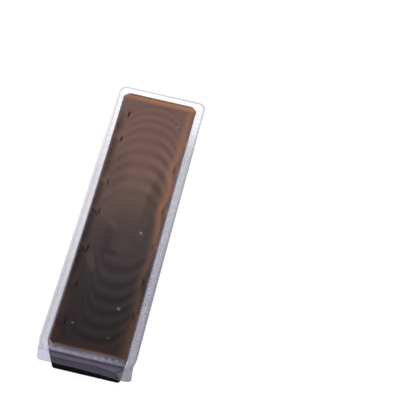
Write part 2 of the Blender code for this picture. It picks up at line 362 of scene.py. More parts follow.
def bean_jelly_finish():
    """Bean jelly: tones along the bar with painted light, ripples with painted light and shade, dark and
    light patches, painted shade in the marks, and the painted glow of thin edges.
    """
    material, maker, place = new_finish("bean_jelly_finish")
    y, z = axis(maker, place, "Y"), axis(maker, place, "Z")
    # Painted light: the brown along the top stands in for light that comes through the jelly
    tone = maker.make("ShaderNodeValToRGB", {"stops": TONES_AND_PAINTED_LIGHT_ALONG}, {0: y / BAR_LENGTH + 0.5})
    far_ripple, near_ripple = ripple_fields(maker, place)
    # Painted light and shade of the ripples: each multiplies the tone, lighter on a ridge, darker in a
    # trough
    for ripple, trough, ridge in ((far_ripple, FAR_TROUGH_PAINTED_SHADE, FAR_RIDGE_PAINTED_LIGHT),
                                  (near_ripple, NEAR_TROUGH_PAINTED_SHADE, NEAR_RIDGE_PAINTED_LIGHT)):
        shade = (ripple * 0.5 + 0.5).mixed(trough, ridge)
        tone = maker.make("ShaderNodeMix", {"data_type": "RGBA", "blend_type": "MULTIPLY"},
                          {0: 1.0, 6: tone, 7: shade}, output=2)

    for patches, patch_tone in ((DARK_PATCHES, DARK_PATCH_TONE), (LIGHT_PATCHES, LIGHT_PATCH_TONE)):
        for middle, half_sizes, turn, strength in patches:
            patch = soft_patch(maker, place, middle, half_sizes, turn) * strength
            tone = patch.mixed(tone, patch_tone)
    # Painted glow on the thin edges, then painted shade in the dents, the scallops and the far edge line
    tone = carried(maker, "dark").mixed(carried(maker, "glow").mixed(tone, PAINTED_GLOW_TONE), PAINTED_SHADE_TONE)

    grain = noise(maker, place, 0.45, 4.0)
    side_tone = grain.mixed(SIDE_TONE, SIDE_LIGHT_TONE)
    # The sides keep the jelly's own near-black; the lighter top above them is painted light
    tone = carried(maker, "pale").mixed(z.between(*TOP_TO_SIDE).mixed(tone, side_tone), PALE_TONE)
    bump = maker.make("ShaderNodeBump", values={"Height": noise(maker, place, 3.0, 3.0),
                                                "Strength": 0.15, "Distance": 0.2 * MM})
    finish_with(material, {"Base Color": tone, "Roughness": grain * 0.15 + 0.35, "Normal": bump},
                Specular_IOR_Level=0.0)
    return material


JELLY = bean_jelly_finish()

# %% [markdown]
# ## Clear plastics
# Thin clear sheet could be real glass in the shader, but light then has to find its way through many
# close walls, which is slow and leaves dark shadows. A sheet this thin hardly bends light, so an alpha
# does it better. The sheet is opaque only by its haze and by what it mirrors, which is next to nothing
# face on and grows at a slant. Metallic is the mirror's part of that alpha, so the mirror stays clean and
# the haze stays soft. Where a sheet is quite clear both are 0, and the Divide node makes 0 of 0 / 0.

# %% Finishes of the film, the tray and the trapped air
PLASTIC_TONE = (0.300, 0.279, 0.360, 1.0)
# Painted shade: a darker tone on the right of the film, for shade beside the tray; the tab has it too
RIGHT_SHADE_AND_TAB_TONE = (0.150, 0.136, 0.192, 1.0)
WING_TONE = (0.190, 0.180, 0.400, 1.0)
MIRROR_TONE = (1.0, 1.0, 1.0, 1.0)
# Pale tone of the knurl dots: partly the frosted weld, partly painted glints
KNURL_FROST_AND_GLINT_TONE = (0.66, 0.65, 0.71, 1.0)
# Painted reflection: trapped air is drawn pale, from a darker tone at the near end to a paler one
AIR_PAINTED_REFLECTION_TONES = (0.055, 0.046, 0.045, 1.0), (0.172, 0.140, 0.135, 1.0)
MIRROR_STARTS, GRAZING_MIRROR, KNURL_MIRROR = 0.6, 0.22, 0.015


def clear_plastic_finish(name, haze_of, roughness, tone=PLASTIC_TONE, straight_on_mirror=0.0):
    """Clear plastic. haze_of gets the field maker and the place, and gives the haze from 0 to 1."""
    material, maker, place = new_finish(name)
    haze = haze_of(maker, place)
    facing = maker.make("ShaderNodeLayerWeight", values={"Blend": 0.5}, output="Facing")
    mirror = facing.between(MIRROR_STARTS, 1.0) ** 2.0 * GRAZING_MIRROR + straight_on_mirror
    mirrored = mirror * (1 - haze)
    alpha = mirrored + haze
    share = mirrored / alpha
    # The darker tone on the film's right is painted shade; the tab takes the same tone, the left wing a
    # bluish one
    soft_tone = carried(maker, "wing").mixed(carried(maker, "smoke").mixed(tone, RIGHT_SHADE_AND_TAB_TONE), WING_TONE)
    finish_with(material, {"Base Color": share.mixed(soft_tone, MIRROR_TONE), "Alpha": alpha,
                           "Metallic": share}, Roughness=roughness, Specular_IOR_Level=0.0)
    return material


def tray_haze(maker, place):
    """The rim is a little hazy, in faint streaks from forming; the walls and the floor are clear."""
    return axis(maker, place, "Z").between(28.0, 32.0) * (noise(maker, place, 0.12) * 0.02 + 0.01)


def film_haze(maker, place):
    """The haze that the film's own mesh carries, a little uneven."""
    return carried(maker, "haze") * (noise(maker, place, 0.35, 3.0) * 0.2 + 0.9)


def knurl_haze(maker, place):
    """Dots of the weld: some are frosted, others nearly clear; the pale dots are partly frost and partly
    painted glints.
    """
    return noise(maker, place, 0.9).between(0.45, 0.65) * 0.45


TRAY_PLASTIC = clear_plastic_finish("tray_plastic_finish", tray_haze, 0.12)
CLEAR_FILM = clear_plastic_finish("clear_film_finish", film_haze, 0.16)
KNURL_PLASTIC = clear_plastic_finish("knurl_finish", knurl_haze, 0.2, KNURL_FROST_AND_GLINT_TONE, KNURL_MIRROR)


def air_finish():
    """Trapped air: the film isn't wet there, so it mirrors more; its paleness is painted reflection,
    painted less pale at the near end.
    """
    material, maker, place = new_finish("trapped_air_finish")
    # Painted reflection, paler away from the near end like the top's painted light, and a little uneven
    paleness = axis(maker, place, "Y").between(-95.0, 0.0) * 0.7 + noise(maker, place, 1.2) * 0.3
    finish_with(material, {"Base Color": paleness.mixed(*AIR_PAINTED_REFLECTION_TONES)}, Roughness=0.5,
                Specular_IOR_Level=0.0)
    return material


TRAPPED_AIR = air_finish()

# %% [markdown]
# ## Outlines and lofts
# The bar and the tray are both stacks of rounded rectangles, so one function draws the outline and one
# skins a stack of them. The long sides pull in a little between the ends, as formed sheet does when it
# cools, and three corners of the bar's top are cut off, where the jelly didn't fill the tray.

# %% Sizes that the solids share, in mm
BAR_HALF_X, BAR_HALF_Y = 24.0, 100.0
BAR_TOP = 32.4
DRAFT = 0.105
CORNER_RADIUS = 1.8
TOUCH_GAP = 0.3
WALL = 0.8
CORNER_GAPS = (3.0, 3.2, 3.8, 0.0)
CORNER_GAP_DEPTH = 3.0
BOW_LEFT, BOW_RIGHT = 0.6, 0.25
FILM_FAR_Y = 105.2
FLOOR_ROUND = 1.2
CORNER_STEPS = 8
SIDE_STEPS = 400
END_STEPS = 48
SHARP_ANGLE = 40.0


def bowed(x, y):
    """The x of a point once the long sides pull in between the ends."""
    left = (1 - x / BAR_HALF_X) / 2
    return x + (BOW_LEFT * left - BOW_RIGHT * (1 - left)) * (1 - (y / FILM_FAR_Y) ** 2)


def outline(half_x, half_y, radius, cuts=(0, 0, 0, 0), cut_share=0.0, off_centre=0.0):
    """Points round a rounded rectangle, anticlockwise from the right side; see bowed for its sides."""
    points = []
    for corner, (sign_x, sign_y) in enumerate(((1, 1), (-1, 1), (-1, -1), (1, -1))):
        share = np.linspace(0, 1, CORNER_STEPS + 1)
        angle = (corner + share) * math.pi / 2
        arc = np.stack([sign_x * (half_x - radius) + radius * np.cos(angle),
                        sign_y * (half_y - radius) + radius * np.sin(angle)], axis=1)
        along = share if corner % 2 == 0 else 1 - share
        chord = np.stack([sign_x * (half_x - cuts[corner] * along),
                          sign_y * (half_y - cuts[corner] * (1 - along))], axis=1)
        points.append(arc + (chord - arc) * (cut_share if cuts[corner] else 0.0))
    ring = []
    for corner in range(4):
        start, end = points[corner][-1], points[(corner + 1) % 4][0]
        steps = END_STEPS if corner % 2 == 0 else SIDE_STEPS
        shares = np.arange(1, steps)[:, None] / steps
        ring += [points[corner], start + (end - start) * shares]
    ring = np.concatenate(ring)
    return np.stack([bowed(ring[:, 0], ring[:, 1]) + off_centre, ring[:, 1]], axis=1)


print("an outline has", len(outline(BAR_HALF_X, BAR_HALF_Y, CORNER_RADIUS)), "points")


# %% From outlines to a mesh
def bar_half(height, outset=0.0):
    """Half sizes of the bar at a height, widened evenly by outset."""
    spread = outset - DRAFT * (BAR_TOP - height)
    return BAR_HALF_X + spread, BAR_HALF_Y + spread


def quarter_round(radius, steps):
    """Inset and rise of the points on a quarter round, from its flat end to its upright end."""
    return [(radius * (1 - math.sin(a)), radius * (1 - math.cos(a)))
            for a in np.linspace(0, math.pi / 2, steps + 1)]


def new_piece(name, points, faces, material):
    """A mesh object at the origin from points in mm, smooth where its faces turn gently."""
    mesh = bpy.data.meshes.new(name)
    mesh.from_pydata([tuple(float(v) * MM for v in point) for point in points], [], faces)
    mesh.materials.append(material)
    mesh.shade_smooth()
    mesh.set_sharp_from_angle(angle=math.radians(SHARP_ANGLE))
    print(name, "has", len(mesh.polygons), "faces")
    return into_scene(name, mesh)


def skin(rings):
    """Points and faces of a body through rings of equal count, closed by its first and last ring."""
    count = len(rings[0])
    faces = [tuple(reversed(range(count)))]
    for row in range(len(rings) - 1):
        for i in range(count):
            j = (i + 1) % count
            faces.append((row * count + i, row * count + j, (row + 1) * count + j, (row + 1) * count + i))
    last = (len(rings) - 1) * count
    faces.append(tuple(range(last, last + count)))
    return np.concatenate(rings), faces


def level(ring, heights):
    """A ring of flat points with a height, or with one height for each point."""
    return np.column_stack([ring, np.broadcast_to(heights, len(ring))])


def carry(mesh, **values):
    """Gives the points of a mesh numbers that a finish or a tree can read, each under its name."""
    for name, numbers in values.items():
        stored = mesh.attributes.new(name, "FLOAT", "POINT")
        stored.data.foreach_set("value", np.asarray(numbers, dtype=np.float32))


print("the bar's foot is", [round(2 * half, 1) for half in bar_half(0.0)], "mm")


# %% Soft shapes for marks and haze
def soft_step(value, start, end):
    """The soft step from 0 at start to 1 at end, on numbers."""
    share = np.clip((value - start) / (end - start), 0, 1)
    return share * share * (3 - 2 * share)


def stepped(value, base, *steps):
    """A base, plus an amount for each soft step (start, end, amount)."""
    return base + sum(amount * soft_step(value, start, end) for start, end, amount in steps)


def hump(value, middle, width):
    """A smooth bump: 1 at the middle, and close to 0 from two widths away."""
    return np.exp(-((value - middle) / width) ** 2)


print("one width from its middle a hump is", round(float(hump(1.0, 0.0, 1.0)), 2))

# %% [markdown]
# ## The bar of jelly
# Through clear plastic an air gap beside the jelly would show as a bright line, so this piece reaches
# just into the tray's wall and into the film. Its top is a nest of outlines that shrink to the middle
# line. That puts the finest faces along the edges, where the marks are: small dents where the sealing
# tool pinched the film, and shallow scallops between them on the left, where the film let go.

# %% The pinch marks, and the scallops beside them, darkened with painted shade
PINCH_PITCH = 27.5
LEFT_PINCH_X, RIGHT_PINCH_X = -17.4, 20.8
LEFT_PINCH_STRAYS = (0.0, 0.22, -0.1, 0.06, 0.0, 0.0, 0.0)
RIGHT_PINCH_STRAYS = (0.0, 0.14, -0.08, -0.1, -0.08, 0.0)
LEFT_PINCH_HALF_X, RIGHT_PINCH_HALF_X, PINCH_HALF_Y, PINCH_CURL = 0.75, 0.5, 3.2, 0.35
LEFT_DEPTHS, RIGHT_DEPTHS = (1.0, 0.9, 0.7, 0.75, 1.0, 0.9, 1.0), (0.12, 0.7, 0.6, 0.6, 0.9, 0.8)
HOOK_START_X, HOOK_REACH, HOOK_RISE, HOOK_DROP, HOOK_CURL, HOOK_HALF = -23.6, 5.4, 1.4, 4.9, 1.6, 0.5
# A strength that changes along the bar or across it is a base and its soft steps (start, end, amount)
SCALLOP_STRENGTH = (0.30, (-62, -6, 0.26))
SCALLOP_PEAK, SCALLOP_PEAK_Y, SCALLOP_PEAK_HALF = 0.30, -40, 12
SCALLOP_WIDTH, SCALLOP_SWELL = 1.0, 3.4
HOOK_STRENGTH, HOOK_PEAK_Y = (0.25, (40, 22, 0.65)), -16
PINCH_DEPTH, SCALLOP_DEPTH = 0.45, 0.12


def pinch_rows():
    """The y of each pinch mark on the left and on the right."""
    rows = []
    for strays in (LEFT_PINCH_STRAYS, RIGHT_PINCH_STRAYS):
        middle = (len(strays) - 1) / 2
        rows.append(np.array([(middle - i + stray) * PINCH_PITCH for i, stray in enumerate(strays)]))
    return rows


def nearest_mark(y, row):
    """How far a place along the bar is from the nearest mark of a row."""
    return np.abs(y[:, None] - row).min(axis=1)


def past_mark(y, row):
    """How far a place is past the last mark before it, seen from the near end; 99 if there is none."""
    away = y[:, None] - row
    return np.where(away > 0, away, 99).min(axis=1)


def pinch_dents(x, y, left_row, right_row):
    """Depth, from 0 to 1, of the small curled ovals that the tool pressed in."""
    dent = np.zeros(len(x))
    for mark_x, half_x, row, depths in ((LEFT_PINCH_X, LEFT_PINCH_HALF_X, left_row, LEFT_DEPTHS),
                                        (RIGHT_PINCH_X, RIGHT_PINCH_HALF_X, right_row, RIGHT_DEPTHS)):
        for mark_y, depth in zip(row, depths):
            along = (y - mark_y) / PINCH_HALF_Y
            across = (x - mark_x + PINCH_CURL * along ** 2) / half_x
            dent = np.maximum(dent, depth * np.sqrt(np.clip(1 - across ** 2 - along ** 2, 0, 1)))
    return dent


def hook_lines(x, y, row):
    """1 on a fine line that curls from the bar's left edge to the near end of each mark, else 0."""
    share = np.clip((x - HOOK_START_X) / HOOK_REACH, 0, 1)
    drop = HOOK_DROP * share ** HOOK_CURL
    slope = HOOK_DROP * HOOK_CURL / HOOK_REACH * share ** (HOOK_CURL - 1)
    away = nearest_mark(y + drop - HOOK_RISE, row)
    return hump(away / np.hypot(1, slope), 0.0, HOOK_HALF) * soft_step(x, LEFT_PINCH_X, LEFT_PINCH_X - 1)


def left_scallops(x, y, row):
    """Painted shade beside the left edge: each scallop starts sharply at a hook and thins out to the next.
    """
    under, over = past_mark(-y, -row - HOOK_RISE), past_mark(y, row)
    band = SCALLOP_WIDTH + SCALLOP_SWELL * soft_step(under, 0.0, 3.0) * (1 - 0.7 * hump(over, 0.0, 6.0))
    scallop = soft_step(BAR_HALF_X + x, band + 2.6, band - 2.2) * soft_step(under, 0.0, 1.2)
    strength = stepped(y, *SCALLOP_STRENGTH) + SCALLOP_PEAK * hump(y, SCALLOP_PEAK_Y, SCALLOP_PEAK_HALF)
    hooks = hook_lines(x, y, row) * stepped(np.abs(y - HOOK_PEAK_Y), *HOOK_STRENGTH)
    return np.maximum(scallop * strength * soft_step(y, 88, 70), hooks)


print("pinch marks on the left at y", [round(float(y), 1) for y in pinch_rows()[0]])

# %% The painted glow of thin edges, and all marks together
RIGHT_PULLS, PULL_HALF = (0.4, 2.6, 2.1, 0.0, 2.2, 0.0), 9.0
EDGE_STRENGTH, EDGE_INNER_HALF, EDGE_OUTER_HALF = (0.10, (-50, -30, 0.10), (-24, -2, 0.20)), 2.3, 1.6
LEFT_CLOUDS, RIGHT_CLOUDS, HOOK_GLOW = 0.11, 0.055, 0.10
FAR_STRENGTH, FAR_BAND = (0.74, (6, 22, 0.26), (-6, -21, -0.16)), (6.0, 2.0)
FAR_LINE_STRENGTH, FAR_LINE_INSET, FAR_LINE_HALF = 0.46, 0.5, 0.7
NEAR_EDGE_GLOW, NEAR_BAND_GLOW, NEAR_CORNER_GLOW = 0.17, 0.022, 0.035


def side_glow(x, y, left_row, right_row):
    """Painted glow of the right edge, drawn in to each mark, and faint clouds of it between the marks."""
    from_left, from_right = nearest_mark(y, left_row), nearest_mark(y, right_row)
    pulls = (hump(y[:, None], right_row, PULL_HALF) * RIGHT_PULLS).sum(axis=1)
    ridge = RIGHT_PINCH_X + 0.4 - pulls + 1.1 * soft_step(y, -52, -85)
    strength = stepped(y, *EDGE_STRENGTH)
    edge = strength * hump(x, ridge, np.where(x < ridge, EDGE_INNER_HALF, EDGE_OUTER_HALF))
    edge = edge + 0.8 * strength * hump(x, 23.2, 1.1) * hump(from_right, 0.0, 3.0)
    edge = edge + 0.45 * strength * soft_step(x, 22.6, 23.6)
    left_gaps, right_gaps = 1 - 0.7 * hump(from_left, 1.5, 5.0), 1 - 0.8 * hump(from_right, 0.0, 5.0)
    edge = edge + LEFT_CLOUDS * left_gaps * soft_step(x, -17, -23) * soft_step(y, -28, -60)
    edge = edge + RIGHT_CLOUDS * right_gaps * soft_step(x, 13, 20) * soft_step(y, -45, -60)
    return edge + HOOK_GLOW * hump(x, HOOK_START_X, 0.9) * hump(past_mark(y, left_row), 1.9, 1.6)


def end_glow(x, y):
    """Painted glow of the straight band at the far end and of the near end's thin edge."""
    far = stepped(x, *FAR_STRENGTH) * soft_step(BAR_HALF_Y - y, *FAR_BAND)
    inset = BAR_HALF_Y + y
    near = NEAR_EDGE_GLOW * soft_step(inset, 2.8, 0.9) * (1 + 0.3 * np.sin(x / 5.0))
    near = near + NEAR_BAND_GLOW * soft_step(inset, 10, 3)
    return np.maximum(far, near + NEAR_CORNER_GLOW * hump(inset, 8, 2.5) * hump(x, 18, 4))


def top_marks(x, y):
    """Depth in mm, painted shade and painted glow of places on the bar's top."""
    left_row, right_row = pinch_rows()
    dent = pinch_dents(x, y, left_row, right_row)
    scallop = left_scallops(x, y, left_row)
    # A thin line of painted shade along the far edge, joined by painted shade in the dents and scallops
    far_line = FAR_LINE_STRENGTH * hump(BAR_HALF_Y - y, FAR_LINE_INSET, FAR_LINE_HALF)
    dark = np.maximum(np.maximum(dent * 0.95, scallop), far_line * soft_step(np.abs(x), 22, 19))
    glow = np.maximum(side_glow(x, y, left_row, right_row), end_glow(x, y))
    return PINCH_DEPTH * dent + SCALLOP_DEPTH * scallop, dark, glow


far_end_marks = top_marks(np.zeros(1), np.full(1, BAR_HALF_Y - 1))
print("glow in the middle of the far end is", round(float(far_end_marks[2][0]), 2))

# %% The bar, ring by ring
CORNER_PALENESS = (1.0, 0.95, 0.5, 0.0)
JELLY_REACH, FILM_REACH = 0.4, 0.35
JELLY_EDGE_ROUND = 0.4
SIDE_HEIGHTS = (8.0, 16.0, 24.0, BAR_TOP - CORNER_GAP_DEPTH, BAR_TOP - 2.7, BAR_TOP - 1.5)
TOP_INSETS = (0.3, 0.6, 0.9, 1.3, 1.7, 2.1, 2.5, 2.9, 3.3, 3.7, 4.2, 4.7, 5.2, 5.7, 6.1, 6.5, 6.9, 7.3,
              7.8, 8.6, 9.8, 11.5, 13.5, 16.0, 19.0, 23.6)


def corner_values(strengths):
    """One value for each point of an outline: a corner's strength on its own points, else 0."""
    values = []
    for corner, strength in enumerate(strengths):
        steps = END_STEPS if corner % 2 == 0 else SIDE_STEPS
        values += [strength] * (CORNER_STEPS + 1) + [0.0] * (steps - 1)
    return np.array(values)


def make_jelly():
    """The bar: rounded foot, tapered sides, open corners at the top, and a marked top."""
    top = BAR_TOP + FILM_REACH
    foot = WALL + TOUCH_GAP - JELLY_REACH
    rings, marks = [], []

    def add_side(height, inset=0.0):
        """A ring of the sides, whose corners are cut off more and more above the corner gaps' start."""
        share = max(0.0, (height - BAR_TOP + CORNER_GAP_DEPTH) / (CORNER_GAP_DEPTH + FILM_REACH))
        ring = outline(*bar_half(height, JELLY_REACH - inset), CORNER_RADIUS, CORNER_GAPS, share)
        pale = corner_values(CORNER_PALENESS) * (height > BAR_TOP - CORNER_GAP_DEPTH)
        rings.append(level(ring, height))
        marks.append(np.column_stack([np.zeros((len(ring), 2)), pale]))

    for inset, rise in quarter_round(FLOOR_ROUND, 5):
        add_side(foot + rise, inset)
    for height in SIDE_HEIGHTS:
        add_side(height)
    for inset, rise in reversed(quarter_round(JELLY_EDGE_ROUND, 4)):
        add_side(top - rise, inset)
    half_x, half_y = bar_half(top, JELLY_REACH - JELLY_EDGE_ROUND)
    for inset in TOP_INSETS:
        cuts = [max(0.1, cut - 2 * inset) for cut in CORNER_GAPS]
        ring = outline(half_x - inset, half_y - inset, max(0.05, CORNER_RADIUS - inset), cuts, 1.0)
        depth, dark, glow = top_marks(ring[:, 0], ring[:, 1])
        rings.append(level(ring, top - depth))
        marks.append(np.column_stack([dark, glow, np.zeros(len(ring))]))
    jelly = new_piece("yokan_jelly", *skin(rings), JELLY)
    dark, glow, pale = np.concatenate(marks).T
    carry(jelly.data, dark=dark, glow=glow, pale=pale)
    return jelly


jelly = make_jelly()

# %% [markdown]
# ## The tray
# The tray is one sheet, formed over a block. Walking its skin from the cavity's floor, over the rim and
# down the outside to the foot gives one closed body with the wall's thickness everywhere.

# %% The tray, from the cavity over the rim to the foot
RIM_HALF_X, RIM_HALF_Y = 28.1, 104.0
RIM_OFF_CENTRE = 0.5
RIM_RADIUS = 4.6
RIM_LIP_DROP = 1.8
RIM_EDGE_ROUND = 0.7
MOUTH_ROUND = 0.5
FOOT_ROUND = 1.0


def make_tray():
    """The clear tray: cavity, mouth, rim with its turned-down lip, outer walls and foot."""
    rings = []

    def add(half_x, half_y, radius, height, off_centre=0.0):
        rings.append(level(outline(half_x, half_y, radius, off_centre=off_centre), height))

    def add_rim(inset, height):
        add(RIM_HALF_X - inset, RIM_HALF_Y - inset, RIM_RADIUS - inset, height, RIM_OFF_CENTRE)

    cavity_radius = CORNER_RADIUS + TOUCH_GAP
    for inset, rise in quarter_round(FLOOR_ROUND, 5):
        add(*bar_half(WALL + rise, TOUCH_GAP - inset), cavity_radius, WALL + rise)
    for rise, inset in reversed(quarter_round(MOUTH_ROUND, 4)):
        half_x, half_y = bar_half(BAR_TOP - rise, TOUCH_GAP)
        spread = MOUTH_ROUND - inset
        add(half_x + spread, half_y + spread, cavity_radius + spread, BAR_TOP - MOUTH_ROUND + rise)
    for fall, inset in reversed(quarter_round(RIM_EDGE_ROUND, 5)):
        add_rim(inset, BAR_TOP - fall)
    add_rim(0.0, BAR_TOP - RIM_LIP_DROP)
    add_rim(WALL, BAR_TOP - RIM_LIP_DROP)
    add_rim(WALL, BAR_TOP - WALL)
    outset = TOUCH_GAP + WALL
    outer_radius = cavity_radius + WALL
    for inset, rise in quarter_round(WALL, 4):
        half_x, half_y = bar_half(BAR_TOP - WALL - rise, outset + inset)
        add(half_x, half_y, outer_radius + inset, BAR_TOP - WALL - rise)
    for inset, rise in reversed(quarter_round(FOOT_ROUND, 5)):
        add(*bar_half(rise, outset - inset), outer_radius - inset, rise)
    return new_piece("clear_tray", *skin(rings), TRAY_PLASTIC)


tray = make_tray()

# %% [markdown]
# ## The film and its pull tab
# The film is one sheet: flat over the tray, folded over the rim at the near end, and creased where
# it was bent back. A grid whose rows follow the sheet does all three, because the fold and the creases
# are only different heights of the same rows. The grid also carries the haze: none over the jelly, much
# on the tab and where the film is welded to the rim.

# %% Form of the sheet: flat part, fold, and the three flat fields of the tab
FILM_MIDDLE = BAR_TOP + TOUCH_GAP + 0.15
FILM_THICK = 0.16
FILM_HALF_X = 29.45
FILM_OFF_CENTRE = 0.25
FILM_RADIUS = 5.4
FOLD_START_Y = -103.75
FOLD_RADIUS = 0.8
TAB_HALF_X = 28.5
TAB_NECK = 7.0
TAB_LOW_LEFT, TAB_LOW_RIGHT, TAB_SAG = 20.9, 18.3, -1.2
TAB_TOP = FILM_MIDDLE - FOLD_RADIUS
TAB_LOW_MIDDLE = (TAB_LOW_LEFT + TAB_LOW_RIGHT) / 2 - TAB_SAG
TAB_DROP = TAB_TOP - TAB_LOW_MIDDLE
TAB_RADIUS = 2.6
TAB_UPPER_SLOPE, TAB_LOWER_SLOPE = 0.235, 0.03
TAB_CREASE_OUT, TAB_CREASE_HALF = 0.95, 0.18
TAB_CREASE_BEND_X, TAB_CREASE_BEND = 8.0, 0.04
TAB_FORK = (18.6, 26.4)
TAB_FORK_OUT, TAB_FORK_SLOPE_X, TAB_FORK_SLOPE_Z = 1.32, 0.167, 0.053
TAB_LEAN_IN = 0.25
WING_DROP, WING_DROP_GROWTH = 6.2, 0.43
WING_SHIFT, WING_SHIFT_TURN, WING_SHIFT_GROWTH = 0.80, 0.0075, 0.07
WING_START, WING_FULL = -1.05, -0.45
FILM_COLUMNS = 120
FLAT_ROWS = 200
TAB_ROWS = 56


def narrowing(distance, radius):
    """How much a sheet with round corners is narrower on each side, near its end."""
    if distance >= radius:
        return 0.0
    return radius - math.sqrt(radius * radius - (radius - distance) ** 2)


def round_rows(radius, rows):
    """Distances from a round-cornered end at which the sheet gets a row of points."""
    return [radius * (1 - math.cos(a)) for a in np.linspace(0, math.pi / 2, rows + 1)]


def flat_half(y):
    """Half width of the flat film: round far corners, and a neck before the pull tab."""
    share = soft_step(y, FOLD_START_Y + TAB_NECK, FOLD_START_Y)
    return FILM_HALF_X - narrowing(FILM_FAR_Y - y, FILM_RADIUS) - (FILM_HALF_X - TAB_HALF_X) * share


def rim_inset(x, y):
    """Distance of a place inside the rim's edge; below 0 it is past the rim."""
    past_x = np.abs(x - RIM_OFF_CENTRE - (bowed(x, y) - x)) - (RIM_HALF_X - RIM_RADIUS)
    past_y = np.abs(y) - (RIM_HALF_Y - RIM_RADIUS)
    outside = np.hypot(np.maximum(past_x, 0), np.maximum(past_y, 0))
    return RIM_RADIUS - outside - np.minimum(np.maximum(past_x, past_y), 0)


def tab_outward(x, z):
    """How far the tab stands out, and shares of 1 in its crease, lower field and side field."""
    upper = TAB_UPPER_SLOPE * (TAB_TOP - z)
    bend = TAB_CREASE_BEND * np.maximum(0.0, x - TAB_CREASE_BEND_X)
    crease_z = TAB_TOP - TAB_CREASE_OUT / TAB_UPPER_SLOPE
    lower = TAB_CREASE_OUT + bend - TAB_LOWER_SLOPE * (crease_z - z)
    side = TAB_FORK_OUT - TAB_FORK_SLOPE_X * (x - TAB_FORK[0]) - TAB_FORK_SLOPE_Z * (z - TAB_FORK[1])
    fields = np.sort(np.stack([upper, lower, side]), axis=0)
    crease = hump(fields[1], fields[0], TAB_CREASE_HALF)
    on_lower = soft_step(np.minimum(upper, side) - lower, -0.03, 0.03)
    on_side = soft_step(np.minimum(upper, lower) - side, -0.03, 0.03)
    return np.maximum(fields[0], -TAB_LEAN_IN * (TAB_TOP - z)), crease, on_lower, on_side


def off_body(x, z):
    """1 on the two wings of the tab, which stand past the tray's end wall behind them, else 0."""
    # The wall tapers, and a place of the tab hides one lower down on it
    below = FILM_MIDDLE - z
    bar_side = bar_half(z - WING_DROP - WING_DROP_GROWTH * below, JELLY_REACH)[0]
    shift = (WING_SHIFT - WING_SHIFT_TURN * x) * (1 + WING_SHIFT_GROWTH * below)
    return soft_step(np.abs(x - shift) - bar_side, WING_START, WING_FULL)


print("the rim's edge at the right is", round(float(rim_inset(np.array(24.0), np.array(0.0))), 2),
      "mm past the bar's edge")

# %% The haze of the sheet
FAR_HAZE, NEAR_HAZE, NEAR_RIDGE_HAZE = 0.09, 0.28, 0.34
LEFT_TO_RIGHT, TO_FAR_END, TO_NEAR_END = (-8, 14), (97, 101), (-98, -101)
# More haze at the right and less at the far end are painted shade and painted light: over the bright floor
# the haze's tone darkens the right, and the far end stays bright
LEFT_HAZE = (0.57, (-20, -90, 0.06), (-60, 10, -0.12), (20, 85, -0.25))
RIGHT_HAZE = (0.85, (-80, 50, -0.20), (50, 94, -0.46))
RIM_LINE_HAZE, RIM_LINE_HALF = (0.38, (50, 95, 0.32)), 0.35
MARGIN_HAZE, FAR_MARGIN_HAZE = (0.06, (0, 20, 0.08)), (0.0, (98, 103, 0.22))
WELD_START, WELD_FULL = 0.9, -0.45
# The crease's clearing lets the dark end show: painted shade in the crease
UPPER_TAB_HAZE, LOWER_TAB_HAZE, SIDE_TAB_HAZE, CREASE_PAINTED_SHADE = 0.86, 0.41, 0.88, 0.6
# The right wing's extra haze is painted shade over the bright floor
WING_HAZE = (0.56, (0, 24, 0.26))
MOST_HAZE = 0.95
RIDGE_INSET, RIDGE_HALF, RIDGE_HEIGHT = 1.1, 0.8, 0.28


def weld_ridge(inset):
    """Height of the welded film's low ridge, at a distance inside the rim's edge."""
    return RIDGE_HEIGHT * hump(inset, RIDGE_INSET, RIDGE_HALF)


def per_face(haze):
    """The haze that each of the sheet's two faces needs, for this haze of the whole sheet."""
    return 1 - np.sqrt(1 - np.clip(haze, 0, MOST_HAZE))


def flat_haze(x, y, inset, bar_inset):
    """Haze of a row of the flat film: none over the jelly, most at the right, and less at both ends.
    Over the bright floor its tone paints shade at the right, and the clearer far end paints bright light.
    """
    left, right = stepped(y, *LEFT_HAZE), stepped(y, *RIGHT_HAZE)
    haze = left + (right - left) * soft_step(x, *LEFT_TO_RIGHT)
    haze = haze + (FAR_HAZE - haze) * soft_step(y, *TO_FAR_END)
    on_end = soft_step(y, *TO_NEAR_END) * soft_step(np.abs(x), BAR_HALF_X + 0.9, BAR_HALF_X)
    near = NEAR_HAZE + NEAR_RIDGE_HAZE * hump(inset, RIDGE_INSET + 0.3, 0.65)
    near = near * (1 - 0.6 * soft_step(inset, 0.7, 0.1))
    haze = haze + (near - haze) * on_end
    rim_line = stepped(y, *RIM_LINE_HAZE) * hump(inset, 0.0, RIM_LINE_HALF)
    haze = haze + rim_line * (1 - haze) * (1 - on_end)
    margin = stepped(x, *MARGIN_HAZE) + stepped(y, *FAR_MARGIN_HAZE)
    haze = haze + margin * soft_step(inset, 0.2, -0.2)
    return per_face(haze * soft_step(bar_inset, WELD_START, WELD_FULL))


def tab_haze(x, z, from_fold, crease, on_lower, on_side):
    """Haze of a row of the tab: its three fields, clearer near the fold and in a crease, and the wings.
    Where it is clearer the dark end shows through, as painted shade along the fold and in the crease.
    """
    haze = UPPER_TAB_HAZE + (LOWER_TAB_HAZE - UPPER_TAB_HAZE) * on_lower
    haze = haze + (SIDE_TAB_HAZE - UPPER_TAB_HAZE) * on_side
    # Clearer near the fold: painted shade below the rim's front edge
    haze = haze * stepped(from_fold, 1, (4, 0, -0.3)) * stepped(from_fold, 1, (1.2, 0, -0.45))
    haze = haze * (1 - CREASE_PAINTED_SHADE * crease)
    return per_face(haze + (stepped(x, *WING_HAZE) - haze) * off_body(x, z))


print("a sheet with haze 0.5 has", round(float(per_face(0.5)), 2), "on each face")

# %% The sheet's rows, from the far end to the tab's lower edge
MARGIN_DROOP = 0.12
